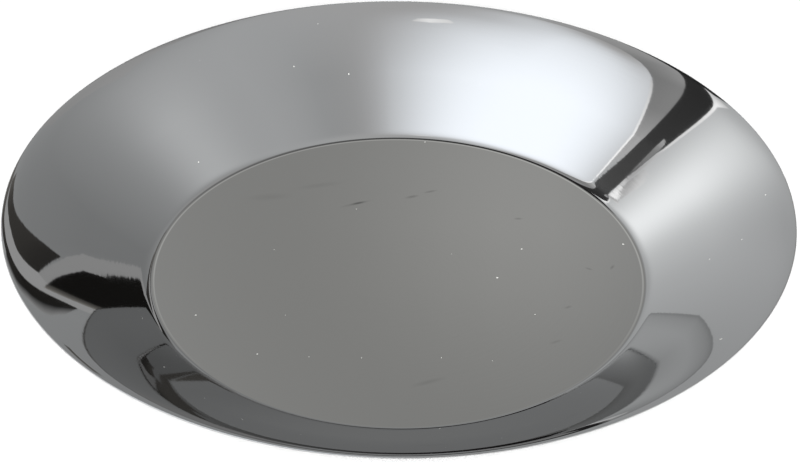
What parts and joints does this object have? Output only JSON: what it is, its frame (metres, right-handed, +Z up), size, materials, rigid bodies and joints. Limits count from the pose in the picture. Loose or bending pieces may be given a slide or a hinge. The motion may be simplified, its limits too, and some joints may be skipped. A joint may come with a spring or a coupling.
{
  "type": "candle plate",
  "caption": "Round mirror-polished metal candle plate: a flat floor for a pillar candle and a sloping wall that flares out to the rim, standing on felt pads.",
  "frame": {"origin": "on the table, under the centre of the plate", "axes": "+Z up along the plate's axis of revolution, +Y towards the first felt pad, +X to the right with +Y pointing away from the viewer"},
  "size_m": [0.12, 0.12, 0.0149],
  "materials": {
    "polished_steel": "mirror-polished stainless steel with fine turned polishing lines",
    "felt": "pressed wool felt, dark grey",
    "adhesive": "double-sided acrylic film"
  },
  "bodies": {
    "root": {"dish": "polished_steel", "felt_pad_1": "felt", "felt_pad_2": "felt", "felt_pad_3": "felt", "adhesive_disc_1": "adhesive", "adhesive_disc_2": "adhesive", "adhesive_disc_3": "adhesive"}
  },
  "joints": []
}
